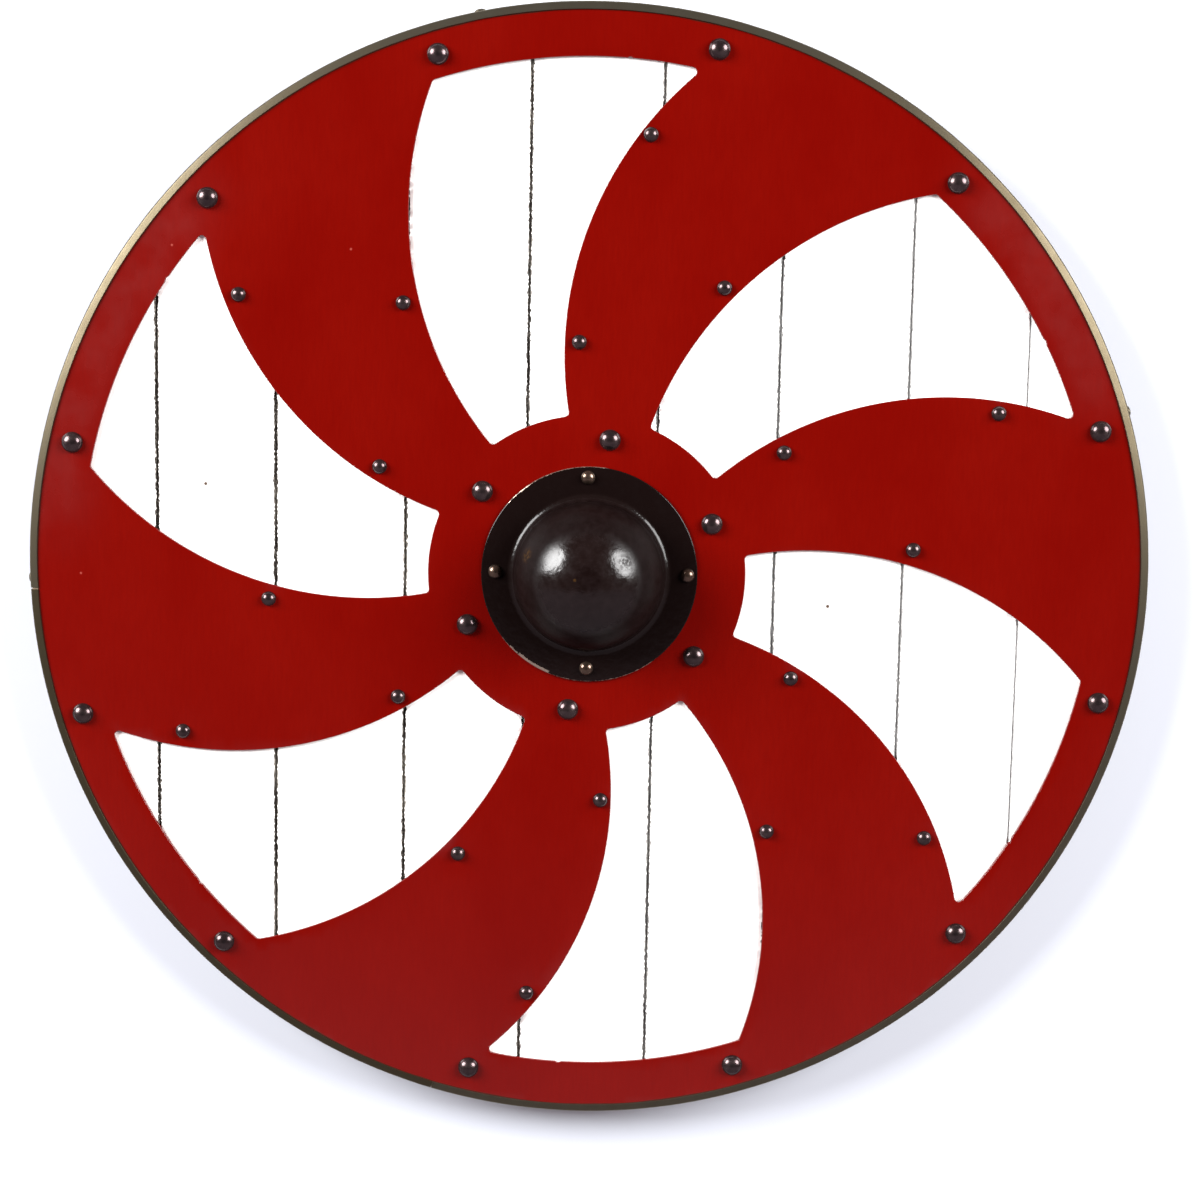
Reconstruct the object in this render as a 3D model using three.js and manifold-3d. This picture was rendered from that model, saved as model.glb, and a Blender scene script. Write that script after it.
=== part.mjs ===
// Round wooden shield with a swirl of six arms, in millimetres.
// It lies on its back: +Z is the outward normal of the painted face, and +Y is the face's upper edge.
// The origin is at the middle of the underside, where the two battens and the grip touch the ground.
import * as THREE from 'three';
import { mergeVertices } from 'three/addons/utils/BufferGeometryUtils.js';
import Module from 'manifold-3d';

// The whole shield
const SHIELD_DIAMETER = 812.8; // 32 inches over the rim
const SIDE_GAP = 0.3; // between pieces that lie side by side

// The boards, which run from the lower edge to the upper edge
const BOARD_THICKNESS = 12;
// What each board has over an equal share, left to right
const BOARD_EXTRA_WIDTHS = [3.3, -4, 4.1, -2.8, 3.6, -3.8, 2.7, -5.4, 2.3];
const SEAM_AT_LEFT = 1.5; // open gap between the first two boards
const SEAM_AT_RIGHT = 0.5; // open gap between the last two boards

// The painted sheet that covers the boards, with as many windows as arms
const SHEET_THICKNESS = 3;
const ARM_COUNT = 6;
const OUTER_BAND = 38.4; // from the windows to the shield's edge
const HUB_BAND = 36.8; // from the boss to the windows
const SWIRL_RADIUS = 257.7; // of the circles that bound the arms
const SWIRL_CENTRE_DISTANCE = 288.3; // from the shield's centre to the centres of those circles
const SWIRL_START = 4.8; // degrees, the first circle's centre
const WINDOW_CORNER = 3.2;
const WINDOW_DRIFT = [-0.3, -0.8, -0.1, 0.3, 0, -0.1]; // degrees that each window is off its even place

// The rim, a folded steel channel in two lengths
const RIM_WALL = 1.2;
const RIM_LIP = 6; // how far each lip reaches in over the face and the back
const RIM_ROUNDING = 2.4;
const RIM_JOINTS = [
  { angle: 182.7, gap: 1.2 },
  { angle: 254.3, gap: 0.4 },
];

// The boss, a hollow domed cap with a flange
const BOSS_WALL = 2;
const BOSS_EDGE_ROUNDING = 0.8;
const DOME_DIAMETER = 108;
const DOME_HEIGHT = 60; // from the sheet to the top
const DOME_STRAIGHT = 2; // upright part of the dome's wall, above the fillet
const DOME_FILLET = 6; // between the flange and the dome
const FLANGE_WIDTH = 18.5; // flat part, outside the fillet
const BOSS_SHIFT = 2; // how far right of the shield's centre the boss and its hole are
const HAND_HOLE_MARGIN = 4; // from the dome's wall out to the edge of the hole in the boards

// The battens and the grip on the back
const BATTEN_THICKNESS = 18;
const BATTEN_WIDTH = 40;
const BATTEN_OFFSET = 215; // from the shield's centre to each batten's middle line
const BATTEN_SETBACK = 14; // from a batten's end to the rim's lip
const GRIP_WIDTH = 40;
const GRIP_SETBACK = 80; // from the grip's end to the rim's lip
const GRIP_WAIST_WIDTH = 27;
const GRIP_WAIST_OVERRUN = 7; // how far the narrow waist runs past the hand hole at each end
const GRIP_EASE = 40; // length over which the grip widens from its waist
const EDGE_CHAMFER = 2.5;

// Domed nails: head diameter and height, width of the square shank, and sides of the head
const LARGE_STUD = { head: 15.4, height: 6, shank: 3, sides: 10 };
const SMALL_STUD = { head: 10.8, height: 4.6, shank: 2.4, sides: 8 };
const BOSS_RIVET = { head: 10.2, height: 4, shank: 2.8, sides: 8 };
const RIM_NAIL = { head: 8, height: 1.8, shank: 2, sides: 8 };
const SHANK_GAP = 0.3; // around a shank in its hole
const SHANK_TIP = 1; // width of a shank's blunt tip
const NAIL_COVER = 2; // wood left behind a nail's tip
const RIM_NAIL_BITE = 7; // depth of a rim nail in the wood

// Where the nails are. The arm studs stand near the two sides of each arm.
const RIM_STUD_COUNT = 12;
const RIM_STUD_START = 16.85; // degrees
const HUB_STUD_START = 22.9;
const HUB_STUD_INSET = 17.3; // in from the windows
const ARM_STUD_INSET = 10.3; // in from the arm's side
const ARM_STUD_INNER = 52.4; // out from the hub, on the arm's hollow side
const ARM_STUD_MIDDLE = 117.2; // out from the hub, on the arm's round side
const ARM_STUD_OUTER = 50; // in from the outer band, on the arm's hollow side
const BOSS_RIVET_COUNT = 4;
const RIM_NAIL_ANGLES = [17.9, 101.6, 181.6];

// The studs were set by hand. Each one's stray from its even place, anticlockwise and outwards.
const RIM_STUD_STRAY = [
  [0, -1], [6.5, 0], [0.5, 0], [0, 0], [-5, -2.5], [-1, 0],
  [-0.5, 0.5], [-1, 2], [5.5, -1.5], [4, 0.5], [-1, -2.5], [1, 0],
];
const HUB_STUD_STRAY = [[0.5, 0], [-3, 1], [-1, -1.5], [2, -3.5], [0.5, 2.5], [1, 0.5]];
const ARM_INNER_STRAY = [[-2, 0], [-2.5, 0], [-0.5, 1], [2, -2.5], [2.5, 0], [1, -0.5]];
const ARM_MIDDLE_STRAY = [[-0.5, -4], [-3, 3], [0, 0], [3.5, -3.5], [1, -0.5], [-0.5, 4.5]];
const ARM_OUTER_STRAY = [[0, 0], [0.5, -1], [-3, 2.5], [-0.5, 1], [1.5, -0.5], [1.5, -2.5]];
const BOSS_RIVET_STRAY = [[1, 2], [2, 1.5], [-1, -1], [-1, -0.5]];

// How finely curves are cut into straight lines
const RIM_SEGMENTS = 64;
const BOSS_SEGMENTS = 32;
const DOME_STEPS = 7;
const HAND_HOLE_SEGMENTS = 32;
const CHORD_ERROR = 0.35;

// Heights above the ground
const BOARD_BOTTOM = BATTEN_THICKNESS;
const BOARD_TOP = BOARD_BOTTOM + BOARD_THICKNESS;
const SHEET_TOP = BOARD_TOP + SHEET_THICKNESS;
const RIM_BOTTOM = BOARD_BOTTOM - RIM_WALL;
const RIM_TOP = SHEET_TOP + RIM_WALL;

// Radii that follow from one another
const RIM_RADIUS = SHIELD_DIAMETER / 2;
const LIP_RADIUS = RIM_RADIUS - RIM_LIP;
const BOARD_RADIUS = RIM_RADIUS - RIM_WALL - SIDE_GAP;
const DOME_RADIUS = DOME_DIAMETER / 2;
const FLANGE_INNER_RADIUS = DOME_RADIUS + DOME_FILLET;
const BOSS_RADIUS = FLANGE_INNER_RADIUS + FLANGE_WIDTH;
const HAND_HOLE_RADIUS = DOME_RADIUS + HAND_HOLE_MARGIN;
const HUB_RADIUS = BOSS_RADIUS + HUB_BAND;
const WINDOW_OUTER_RADIUS = RIM_RADIUS - OUTER_BAND;
const CUT_MARGIN = 5; // how far a cutting body runs past what it cuts

const RED_PAINT = material(0x8f0a04, 0.45, 0);
const WHITE_PAINT = material(0xf2f1ee, 0.6, 0);
const BARE_WOOD = material(0xb48a5c, 0.7, 0);
const RIM_STEEL = material(0x5a574c, 0.4, 0.9);
const BOSS_ENAMEL = material(0x1d1413, 0.25, 0.3);
const STUD_METAL = material(0x3c3234, 0.25, 0.9);

const CENTRE = new THREE.Vector2();
const wasm = await Module();
wasm.setup();

function material(color, roughness, metalness) {
  return new THREE.MeshStandardMaterial({ color, roughness, metalness });
}

function radians(degrees) {
  return THREE.MathUtils.degToRad(degrees);
}

function polar(radius, angle) {
  return new THREE.Vector2(radius * Math.cos(angle), radius * Math.sin(angle));
}

// A closed geometry as a solid that can be cut and joined.
function solid(geometry) {
  geometry.deleteAttribute('normal');
  geometry.deleteAttribute('uv');
  const merged = mergeVertices(geometry, 1e-4);
  const corners = merged.index.array;
  const triangles = [];
  for (let i = 0; i < corners.length; i += 3) {
    const [a, b, c] = corners.slice(i, i + 3);
    if (a !== b && b !== c && c !== a) {
      triangles.push(a, b, c);
    }
  }
  return new wasm.Manifold(new wasm.Mesh({
    numProp: 3,
    vertProperties: new Float32Array(merged.attributes.position.array),
    triVerts: new Uint32Array(triangles),
  }));
}

function mesh(name, body, surface) {
  const { vertProperties, triVerts } = body.getMesh();
  const geometry = new THREE.BufferGeometry();
  geometry.setAttribute('position', new THREE.BufferAttribute(vertProperties, 3));
  geometry.setIndex(new THREE.BufferAttribute(triVerts, 1));
  geometry.computeVertexNormals();
  const piece = new THREE.Mesh(geometry, surface.clone());
  piece.name = name;
  return piece;
}

// Points along an arc, both ends included, with as few chords as CHORD_ERROR allows.
function arc(centre, radius, from, to) {
  const widest = 2 * Math.acos(1 - Math.min(CHORD_ERROR / radius, 1));
  const steps = Math.max(2, Math.ceil(Math.abs(to - from) / widest));
  const points = [];
  for (let i = 0; i <= steps; i += 1) {
    points.push(polar(radius, from + ((to - from) * i) / steps).add(centre));
  }
  return points;
}

function circlePoints(radius, segments) {
  const points = [];
  for (let i = 0; i < segments; i += 1) {
    points.push(polar(radius, (2 * Math.PI * i) / segments));
  }
  return points;
}

// An outline pushed up from height bottom by the given depth.
function slab(shape, bottom, depth) {
  const geometry = new THREE.ExtrudeGeometry(shape, { depth, bevelEnabled: false });
  geometry.translate(0, 0, bottom);
  return solid(geometry);
}

// A bar of the given outline that lies on the ground, with chamfered edges.
function bar(outline, thickness) {
  const geometry = new THREE.ExtrudeGeometry(new THREE.Shape(outline), {
    depth: thickness - 2 * EDGE_CHAMFER,
    bevelThickness: EDGE_CHAMFER,
    bevelSize: EDGE_CHAMFER,
    bevelOffset: -EDGE_CHAMFER,
    bevelSegments: 1,
  });
  geometry.translate(0, 0, EDGE_CHAMFER);
  return solid(geometry);
}

function block(xFrom, xTo, yFrom, yTo, zFrom, zTo) {
  const geometry = new THREE.BoxGeometry(xTo - xFrom, yTo - yFrom, zTo - zFrom);
  geometry.translate((xFrom + xTo) / 2, (yFrom + yTo) / 2, (zFrom + zTo) / 2);
  return solid(geometry);
}

// A profile of distances from the axis and heights, turned round the Z axis.
function turned(profile, segments) {
  const geometry = new THREE.LatheGeometry(profile, segments);
  geometry.rotateX(Math.PI / 2);
  geometry.rotateZ(Math.PI / 2);
  return solid(geometry);
}

// The point at distance reach from the shield's centre and distance span from the centre of the swirl
// circle at the given angle, on that circle's anticlockwise side.
function swirlPoint(swirlAngle, reach, span) {
  const cosine = (reach ** 2 + SWIRL_CENTRE_DISTANCE ** 2 - span ** 2) / (2 * reach * SWIRL_CENTRE_DISTANCE);
  return polar(reach, swirlAngle + Math.acos(cosine));
}

// A ring of nail places that starts at a point of the face. Each one strays a little from its even place.
function ring(first, count, strays) {
  const places = [];
  for (let i = 0; i < count; i += 1) {
    const [along, outwards] = strays[i % strays.length];
    const reach = first.length() + outwards;
    const angle = first.angle() + (2 * Math.PI * i) / count + along / reach;
    places.push({ angle, ...polar(reach, angle) });
  }
  return places;
}

// A square shank along -Z from a height rise above the origin, tapered to its tip.
function shank(width, tipWidth, length, rise) {
  const geometry = new THREE.CylinderGeometry(
    width * Math.SQRT1_2,
    tipWidth * Math.SQRT1_2,
    length + rise,
    4,
  );
  geometry.rotateX(Math.PI / 2);
  geometry.rotateZ(Math.PI / 4);
  geometry.translate(0, 0, (rise - length) / 2);
  return solid(geometry);
}

// A domed head that stands on z = 0, with a shank of the given length below.
function nail(kind, length) {
  const radius = kind.head / 2;
  const rings = 3;
  const profile = [new THREE.Vector2(0, 0), new THREE.Vector2(radius, 0)];
  for (let i = 1; i < rings; i += 1) {
    const climb = (i / rings) * (Math.PI / 2);
    profile.push(new THREE.Vector2(radius * Math.cos(climb), kind.height * Math.sin(climb)));
  }
  profile.push(new THREE.Vector2(0, kind.height));
  return turned(profile, kind.sides).add(shank(kind.shank, SHANK_TIP, length, kind.height / 2));
}

// The hole that a nail's shank needs, from its tip to well above the head's seat.
function nailHole(kind, length) {
  const wide = kind.shank + 2 * SHANK_GAP;
  return shank(wide, wide, length + SHANK_GAP, length);
}

// Moves a body from the origin to a nail's place on the face.
function onFace(body, { x, y, angle, seat }) {
  return body.rotate([0, 0, THREE.MathUtils.radToDeg(angle)]).translate([x, y, seat]);
}

// Moves a body from the origin to the rim's outer wall, pointing outwards.
function onRim(body, degrees) {
  const seat = polar(RIM_RADIUS + SIDE_GAP, radians(degrees));
  const middle = (RIM_BOTTOM + RIM_TOP) / 2;
  return body.rotate([0, 90, 0]).rotate([0, 0, degrees]).translate([seat.x, seat.y, middle]);
}

// Every nail on the face: its name, kind, place, the height of its head's seat and its length below that.
function faceNails() {
  const leading = radians(SWIRL_START);
  const trailing = leading - Math.PI / ARM_COUNT;
  const hollowSide = SWIRL_RADIUS - ARM_STUD_INSET;
  const roundSide = SWIRL_RADIUS + ARM_STUD_INSET;
  const rimStud = polar((WINDOW_OUTER_RADIUS + LIP_RADIUS) / 2, radians(RIM_STUD_START));
  const hubStud = polar(HUB_RADIUS - HUB_STUD_INSET, radians(HUB_STUD_START));
  const innerStud = swirlPoint(trailing, HUB_RADIUS + ARM_STUD_INNER, hollowSide);
  const middleStud = swirlPoint(leading, HUB_RADIUS + ARM_STUD_MIDDLE, roundSide);
  const outerStud = swirlPoint(trailing, WINDOW_OUTER_RADIUS - ARM_STUD_OUTER, hollowSide);
  const armStuds = [
    ...ring(innerStud, ARM_COUNT, ARM_INNER_STRAY),
    ...ring(middleStud, ARM_COUNT, ARM_MIDDLE_STRAY),
    ...ring(outerStud, ARM_COUNT, ARM_OUTER_STRAY),
  ];
  const rivet = new THREE.Vector2((FLANGE_INNER_RADIUS + BOSS_RADIUS) / 2, 0);
  const rivets = ring(rivet, BOSS_RIVET_COUNT, BOSS_RIVET_STRAY);
  const depth = SHEET_THICKNESS + BOARD_THICKNESS - NAIL_COVER;
  const named = (name, kind, places, seat, shift) => places.map(({ x, y, angle }, i) => (
    { name: `${name}_${i + 1}`, kind, angle, x: x + shift, y, seat, length: seat - SHEET_TOP + depth }
  ));
  return [
    ...named('rim_stud', LARGE_STUD, ring(rimStud, RIM_STUD_COUNT, RIM_STUD_STRAY), SHEET_TOP, 0),
    ...named('hub_stud', LARGE_STUD, ring(hubStud, ARM_COUNT, HUB_STUD_STRAY), SHEET_TOP, 0),
    ...named('arm_stud', SMALL_STUD, armStuds, SHEET_TOP, 0),
    ...named('boss_rivet', BOSS_RIVET, rivets, SHEET_TOP + BOSS_WALL, BOSS_SHIFT),
  ];
}

const FACE_NAILS = faceNails();
const RIM_NAIL_LENGTH = RIM_RADIUS + SIDE_GAP - BOARD_RADIUS + RIM_NAIL_BITE;

// Drills every nail hole in a body.
function drill(body) {
  let drilled = body;
  for (const stud of FACE_NAILS) {
    drilled = drilled.subtract(onFace(nailHole(stud.kind, stud.length), stud));
  }
  for (const degrees of RIM_NAIL_ANGLES) {
    drilled = drilled.subtract(onRim(nailHole(RIM_NAIL, RIM_NAIL_LENGTH), degrees));
  }
  return drilled;
}

function handHole() {
  const outline = new THREE.Shape(circlePoints(HAND_HOLE_RADIUS, HAND_HOLE_SEGMENTS));
  return slab(outline, 0, SHEET_TOP + CUT_MARGIN).translate([BOSS_SHIFT, 0, 0]);
}

// The boards are strips of one drilled disc. The hand hole parts the middle board into two pieces.
function boards() {
  const count = BOARD_EXTRA_WIDTHS.length;
  const middleBoard = (count - 1) / 2;
  const disc = slab(new THREE.Shape(circlePoints(BOARD_RADIUS, RIM_SEGMENTS)), BOARD_BOTTOM, BOARD_THICKNESS);
  const stock = drill(disc.subtract(handHole()));
  const top = BOARD_TOP + CUT_MARGIN;
  const reach = RIM_RADIUS + CUT_MARGIN;
  const pieces = [];
  let left = -reach;
  let seam = -RIM_RADIUS;
  for (let i = 0; i < count; i += 1) {
    const gap = THREE.MathUtils.lerp(SEAM_AT_LEFT, SEAM_AT_RIGHT, i / (count - 2));
    seam += SHIELD_DIAMETER / count + BOARD_EXTRA_WIDTHS[i];
    const right = i === count - 1 ? reach : seam - gap / 2;
    if (i === middleBoard) {
      const upper = stock.intersect(block(left, right, SIDE_GAP / 2, reach, 0, top));
      const lower = stock.intersect(block(left, right, -reach, -SIDE_GAP / 2, 0, top));
      pieces.push(mesh(`board_${i + 1}_upper`, upper, WHITE_PAINT));
      pieces.push(mesh(`board_${i + 1}_lower`, lower, WHITE_PAINT));
    } else {
      const board = stock.intersect(block(left, right, -reach, reach, 0, top));
      pieces.push(mesh(`board_${i + 1}`, board, WHITE_PAINT));
    }
    left = seam + gap / 2;
  }
  return pieces;
}

// An arc from one bearing to another, anticlockwise where way is 1 and clockwise where it is -1.
function sweep(centre, radius, from, to, way) {
  const turn = THREE.MathUtils.euclideanModulo(way * (to - from), 2 * Math.PI);
  return arc(centre, radius, from, from + way * turn);
}

function bearing(from, to) {
  return to.clone().sub(from).angle();
}

// One window, as wide as an arm. It lies inside its leading swirl circle and outside its trailing one, and
// a small circle that touches both sides rounds each corner.
function windowOutline() {
  const leading = radians(SWIRL_START);
  const trailing = leading - Math.PI / ARM_COUNT;
  const leadingCentre = polar(SWIRL_CENTRE_DISTANCE, leading);
  const trailingCentre = polar(SWIRL_CENTRE_DISTANCE, trailing);
  const far = WINDOW_OUTER_RADIUS - WINDOW_CORNER;
  const near = HUB_RADIUS + WINDOW_CORNER;
  const farLeading = swirlPoint(leading, far, SWIRL_RADIUS - WINDOW_CORNER);
  const nearLeading = swirlPoint(leading, near, SWIRL_RADIUS - WINDOW_CORNER);
  const nearTrailing = swirlPoint(trailing, near, SWIRL_RADIUS + WINDOW_CORNER);
  const farTrailing = swirlPoint(trailing, far, SWIRL_RADIUS + WINDOW_CORNER);
  const toFarLeading = bearing(leadingCentre, farLeading);
  const toNearLeading = bearing(leadingCentre, nearLeading);
  const toNearTrailing = bearing(trailingCentre, nearTrailing);
  const toFarTrailing = bearing(trailingCentre, farTrailing);
  const sides = [
    sweep(CENTRE, WINDOW_OUTER_RADIUS, farTrailing.angle(), farLeading.angle(), 1),
    sweep(farLeading, WINDOW_CORNER, farLeading.angle(), toFarLeading, 1),
    sweep(leadingCentre, SWIRL_RADIUS, toFarLeading, toNearLeading, 1),
    sweep(nearLeading, WINDOW_CORNER, toNearLeading, nearLeading.angle() + Math.PI, 1),
    sweep(CENTRE, HUB_RADIUS, nearLeading.angle(), nearTrailing.angle(), -1),
    sweep(nearTrailing, WINDOW_CORNER, nearTrailing.angle() + Math.PI, toNearTrailing + Math.PI, 1),
    sweep(trailingCentre, SWIRL_RADIUS, toNearTrailing, toFarTrailing, -1),
    sweep(farTrailing, WINDOW_CORNER, toFarTrailing + Math.PI, farTrailing.angle(), 1),
  ];
  // Each side's last point is the next side's first.
  return sides.flatMap((side) => side.slice(0, -1));
}

function faceSheet() {
  const outline = new THREE.Shape(circlePoints(BOARD_RADIUS, RIM_SEGMENTS));
  const corners = windowOutline();
  for (let i = 0; i < ARM_COUNT; i += 1) {
    const turn = (2 * Math.PI * i) / ARM_COUNT + radians(WINDOW_DRIFT[i % WINDOW_DRIFT.length]);
    outline.holes.push(new THREE.Path(corners.map((corner) => corner.clone().rotateAround(CENTRE, turn))));
  }
  const sheet = drill(slab(outline, BOARD_TOP, SHEET_THICKNESS).subtract(handHole()));
  return mesh('face_sheet', sheet, RED_PAINT);
}

// The channel's section, from the lower lip round the outside to the upper lip and back along the inside.
function rimSection() {
  const inside = RIM_RADIUS - RIM_WALL;
  const lower = new THREE.Vector2(RIM_RADIUS - RIM_ROUNDING, RIM_BOTTOM + RIM_ROUNDING);
  const upper = new THREE.Vector2(RIM_RADIUS - RIM_ROUNDING, RIM_TOP - RIM_ROUNDING);
  return [
    new THREE.Vector2(LIP_RADIUS, RIM_BOTTOM),
    ...arc(lower, RIM_ROUNDING, -Math.PI / 2, 0),
    ...arc(upper, RIM_ROUNDING, 0, Math.PI / 2),
    new THREE.Vector2(LIP_RADIUS, RIM_TOP),
    new THREE.Vector2(LIP_RADIUS, SHEET_TOP),
    new THREE.Vector2(inside, SHEET_TOP),
    new THREE.Vector2(inside, BOARD_BOTTOM),
    new THREE.Vector2(LIP_RADIUS, BOARD_BOTTOM),
    new THREE.Vector2(LIP_RADIUS, RIM_BOTTOM),
  ];
}

// A wedge of the plane between two angles in degrees, larger than the shield.
function wedge(from, to) {
  const steps = Math.ceil((to - from) / 45);
  const points = [new THREE.Vector2()];
  for (let i = 0; i <= steps; i += 1) {
    points.push(polar(SHIELD_DIAMETER, radians(from + ((to - from) * i) / steps)));
  }
  return slab(new THREE.Shape(points), 0, RIM_TOP + CUT_MARGIN);
}

// The rim is one turned channel, sawn through at the joints.
function rimStrips() {
  let channel = drill(turned(rimSection(), RIM_SEGMENTS));
  for (const { angle, gap } of RIM_JOINTS) {
    const from = LIP_RADIUS - CUT_MARGIN;
    const slot = block(from, RIM_RADIUS + CUT_MARGIN, -gap / 2, gap / 2, 0, RIM_TOP + CUT_MARGIN);
    channel = channel.subtract(slot.rotate([0, 0, angle]));
  }
  const [left, bottom] = RIM_JOINTS;
  return [
    mesh('rim_short', channel.intersect(wedge(left.angle, bottom.angle)), RIM_STEEL),
    mesh('rim_long', channel.intersect(wedge(bottom.angle, left.angle + 360)), RIM_STEEL),
  ];
}

// One face of the boss's wall, from the flange up to the top of the dome, set in by depth.
function bossCurve(depth) {
  const shoulder = BOSS_WALL + DOME_FILLET + DOME_STRAIGHT;
  const radius = DOME_RADIUS - depth;
  const rise = DOME_HEIGHT - depth - shoulder;
  const filletCentre = new THREE.Vector2(FLANGE_INNER_RADIUS, BOSS_WALL + DOME_FILLET);
  const points = arc(filletCentre, DOME_FILLET + depth, -Math.PI / 2, -Math.PI);
  for (let i = 0; i < DOME_STEPS; i += 1) {
    const climb = (i / DOME_STEPS) * (Math.PI / 2);
    points.push(new THREE.Vector2(radius * Math.cos(climb), shoulder + rise * Math.sin(climb)));
  }
  points.push(new THREE.Vector2(0, DOME_HEIGHT - depth));
  return points;
}

function boss() {
  const profile = [
    ...bossCurve(BOSS_WALL).reverse(),
    new THREE.Vector2(BOSS_RADIUS, 0),
    new THREE.Vector2(BOSS_RADIUS, BOSS_WALL - BOSS_EDGE_ROUNDING),
    new THREE.Vector2(BOSS_RADIUS - BOSS_EDGE_ROUNDING, BOSS_WALL),
    ...bossCurve(0),
  ];
  const cap = turned(profile, BOSS_SEGMENTS).translate([BOSS_SHIFT, 0, SHEET_TOP]);
  return mesh('boss', drill(cap), BOSS_ENAMEL);
}

// One end's side, from the outer corner in to the middle, mirrored into a whole outline.
function barOutline(side) {
  const mirrored = side.map(({ x, y }) => new THREE.Vector2(-x, y)).reverse();
  const upper = [...side, ...mirrored];
  return [...upper, ...upper.map(({ x, y }) => new THREE.Vector2(-x, -y))];
}

// Each batten ends short of the rim's lip.
function battens() {
  const farSide = BATTEN_OFFSET + BATTEN_WIDTH / 2;
  const end = Math.sqrt(LIP_RADIUS ** 2 - farSide ** 2) - BATTEN_SETBACK;
  const batten = bar(barOutline([new THREE.Vector2(end, BATTEN_WIDTH / 2)]), BATTEN_THICKNESS);
  return [
    mesh('batten_upper', batten.translate([0, BATTEN_OFFSET, 0]), BARE_WOOD),
    mesh('batten_lower', batten.translate([0, -BATTEN_OFFSET, 0]), BARE_WOOD),
  ];
}

// The grip narrows to a waist across the hand hole, with an S-shaped ease at each end of the waist.
function grip() {
  const steps = 4;
  const waistEnd = HAND_HOLE_RADIUS + GRIP_WAIST_OVERRUN;
  const side = [new THREE.Vector2(LIP_RADIUS - GRIP_SETBACK, GRIP_WIDTH / 2)];
  for (let i = 0; i <= steps; i += 1) {
    const share = i / steps;
    const width = THREE.MathUtils.lerp(GRIP_WIDTH, GRIP_WAIST_WIDTH, THREE.MathUtils.smoothstep(share, 0, 1));
    side.push(new THREE.Vector2(waistEnd + GRIP_EASE * (1 - share), width / 2));
  }
  return mesh('grip', bar(barOutline(side), BATTEN_THICKNESS), BARE_WOOD);
}

function nails() {
  const pieces = FACE_NAILS.map((stud) => (
    mesh(stud.name, onFace(nail(stud.kind, stud.length), stud), STUD_METAL)
  ));
  RIM_NAIL_ANGLES.forEach((degrees, i) => {
    pieces.push(mesh(`rim_nail_${i + 1}`, onRim(nail(RIM_NAIL, RIM_NAIL_LENGTH), degrees), RIM_STEEL));
  });
  return pieces;
}

const shield = new THREE.Group();
shield.add(...boards(), faceSheet(), ...rimStrips(), boss(), ...battens(), grip(), ...nails());

export default shield;
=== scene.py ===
"""Looks of the round shield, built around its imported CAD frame.

The frame is in metres: +Z is out of the painted face, +Y is the face's upper edge and the ground is at
z = 0. Sizes in this script are in millimetres, and mesh() turns them into metres.
"""

import math

import bmesh
import bpy
import numpy as np
from mathutils import Euler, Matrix, Vector, kdtree, noise
from mathutils.geometry import delaunay_2d_cdt


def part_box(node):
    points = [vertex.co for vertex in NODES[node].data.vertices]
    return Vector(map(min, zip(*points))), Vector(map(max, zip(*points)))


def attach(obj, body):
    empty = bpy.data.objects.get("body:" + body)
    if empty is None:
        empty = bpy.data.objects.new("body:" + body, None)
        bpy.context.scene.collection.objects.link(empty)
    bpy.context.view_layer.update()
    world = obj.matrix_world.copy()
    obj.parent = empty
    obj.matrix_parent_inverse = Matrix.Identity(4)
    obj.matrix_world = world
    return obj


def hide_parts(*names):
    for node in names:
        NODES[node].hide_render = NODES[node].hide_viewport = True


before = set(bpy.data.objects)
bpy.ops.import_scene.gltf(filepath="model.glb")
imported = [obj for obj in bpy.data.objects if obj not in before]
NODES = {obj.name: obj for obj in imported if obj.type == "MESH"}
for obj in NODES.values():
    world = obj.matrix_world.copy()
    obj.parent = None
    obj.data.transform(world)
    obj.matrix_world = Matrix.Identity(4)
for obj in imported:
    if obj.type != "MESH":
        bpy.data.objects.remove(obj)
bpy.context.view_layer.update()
MM = 0.001


# Places that come from the frame

def box(node):
    """A CAD node's lowest and highest corners in millimetres."""
    low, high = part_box(node)
    return np.array(low) / MM, np.array(high) / MM


def corners(node):
    """A CAD node's corners in millimetres."""
    flat = np.zeros(len(NODES[node].data.vertices) * 3, np.float32)
    NODES[node].data.vertices.foreach_get("co", flat)
    return flat.reshape(-1, 3).astype(float) / MM


SHEET_LOW, SHEET_HIGH = box("face_sheet")
RIM_LOW, RIM_HIGH = box("rim_long")
BOSS_LOW, BOSS_HIGH = box("boss")
BOARD_BOTTOM = box("board_5_upper")[0][2]
SHEET_BOTTOM, SHEET_TOP = SHEET_LOW[2], SHEET_HIGH[2]
BOARD_RADIUS = SHEET_HIGH[0]
RIM_RADIUS = RIM_HIGH[0]
BOSS_CENTRE = (BOSS_LOW[:2] + BOSS_HIGH[:2]) / 2
BOSS_RADIUS = (BOSS_HIGH[1] - BOSS_LOW[1]) / 2

# The swirl, as in the part's source
ARM_COUNT = 6
WINDOW_OUTER_RADIUS = 368.0
HUB_RADIUS = 115.3
SWIRL_RADIUS = 257.7
SWIRL_CENTRE_DISTANCE = 288.3
SWIRL_START = 4.8
WINDOW_CORNER = 3.2
WINDOW_DRIFT = (-0.3, -0.8, -0.1, 0.3, 0.0, -0.1)
HAND_HOLE_RADIUS = 58.0

# The small notches where the router paused on each window's outer side, which are finer than the source
NOTCH_ANGLES = (28.2, 86.2, 145.8, 220.0, 267.7, 328.7)
NOTCH_WIDTH = 3.4
NOTCH_DEPTH = 0.9

# The seams between the boards, as in the part's source: open gaps that narrow from left to right
SEAM_LEFT = 1.5
SEAM_RIGHT = 0.5
SEAM_MIDDLE = 1.0
SEAM_TAPER = 1 / 640

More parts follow.
